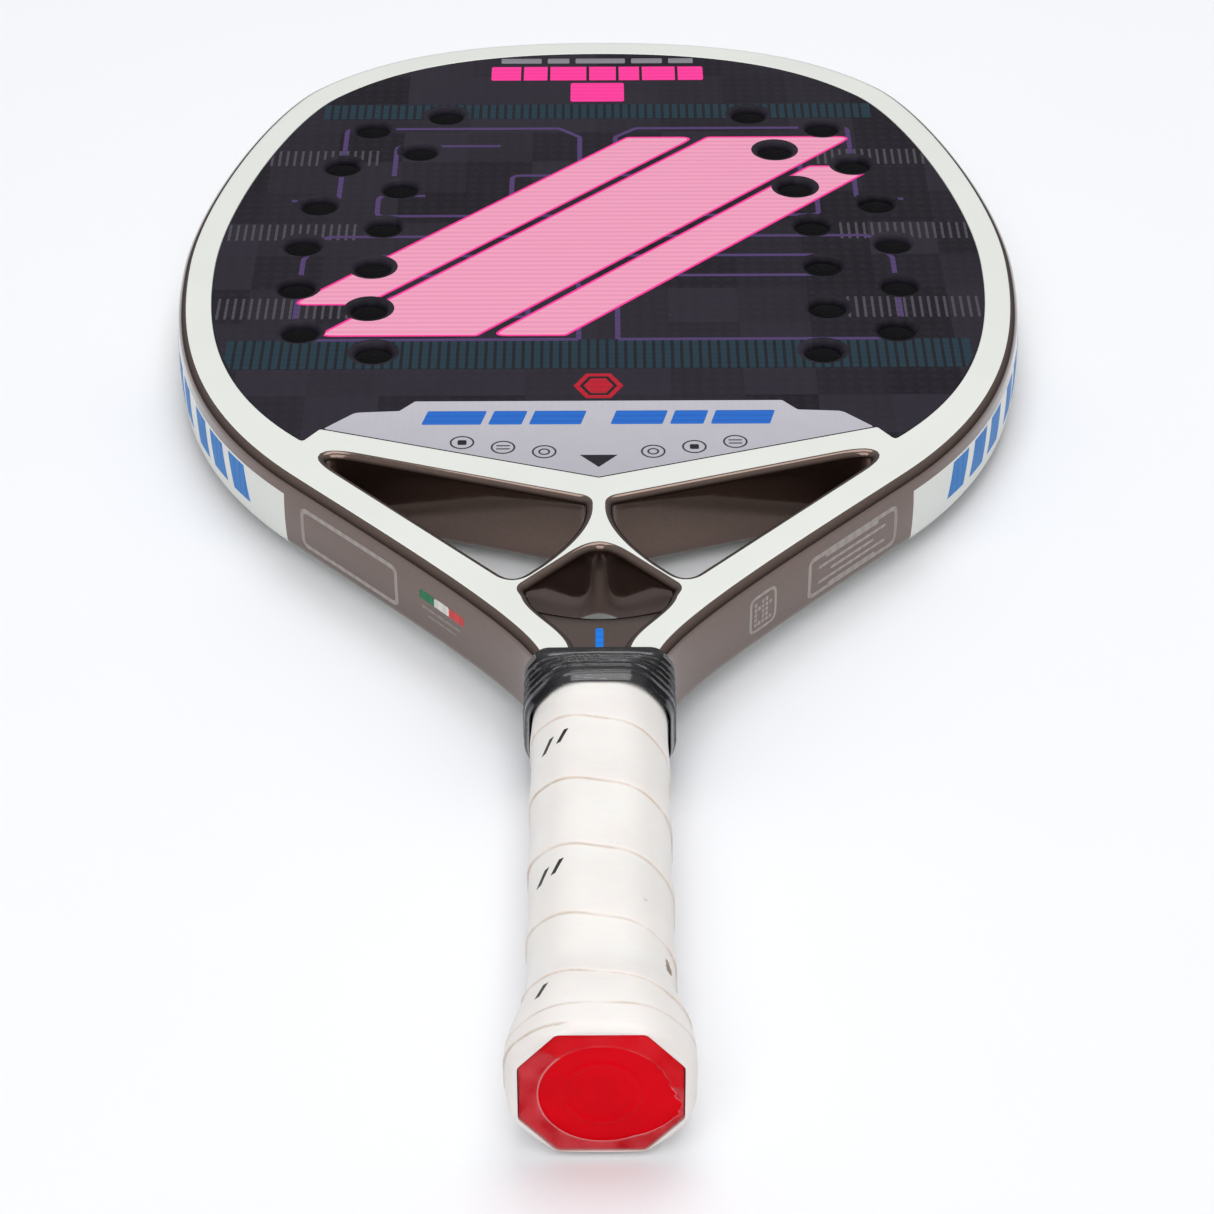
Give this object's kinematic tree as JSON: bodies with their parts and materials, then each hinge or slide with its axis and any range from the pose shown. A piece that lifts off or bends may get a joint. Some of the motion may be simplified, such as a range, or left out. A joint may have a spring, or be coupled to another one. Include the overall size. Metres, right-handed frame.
{
  "type": "beach tennis racket",
  "caption": "Short paddle racket with a drilled solid face in a tubular frame, an open forked throat and a wrapped octagonal handle.",
  "frame": {"origin": "centre of the bounding box's underside, below the middle of the racket's length", "axes": "+Z out of the front face, +Y along the handle towards the tip, +X across the face"},
  "size_m": [0.242, 0.495, 0.036],
  "materials": {
    "white_lacquer": "satin white lacquer over carbon",
    "bronze_lacquer": "metallic bronze lacquer",
    "eva_foam": "closed-cell EVA foam",
    "carbon_laminate": "woven carbon laminate under satin lacquer",
    "lilac_film": "printed film under lacquer",
    "moulded_foam": "moulded rigid foam",
    "cushion_wrap": "cushioned polyurethane wrap",
    "white_wrap": "tacky polyurethane strip",
    "black_tape": "stretched black vinyl tape",
    "red_plastic": "moulded red plastic",
    "clear_film": "clear wrapping film over the red cap"
  },
  "bodies": {
    "root": {"frame_tube": "white_lacquer", "throat_bridge": "white_lacquer", "throat_yoke": "white_lacquer", "throat_web": "bronze_lacquer", "foam_core": "eva_foam", "front_face": "carbon_laminate", "rear_face": "carbon_laminate", "front_throat_decal": "lilac_film", "rear_throat_decal": "lilac_film", "handle_shell_front": "moulded_foam", "handle_shell_rear": "moulded_foam", "handle_filler": "moulded_foam", "base_grip": "cushion_wrap", "overgrip": "white_wrap", "finishing_tape": "black_tape", "butt_cap": "red_plastic", "butt_film": "clear_film"}
  },
  "joints": []
}
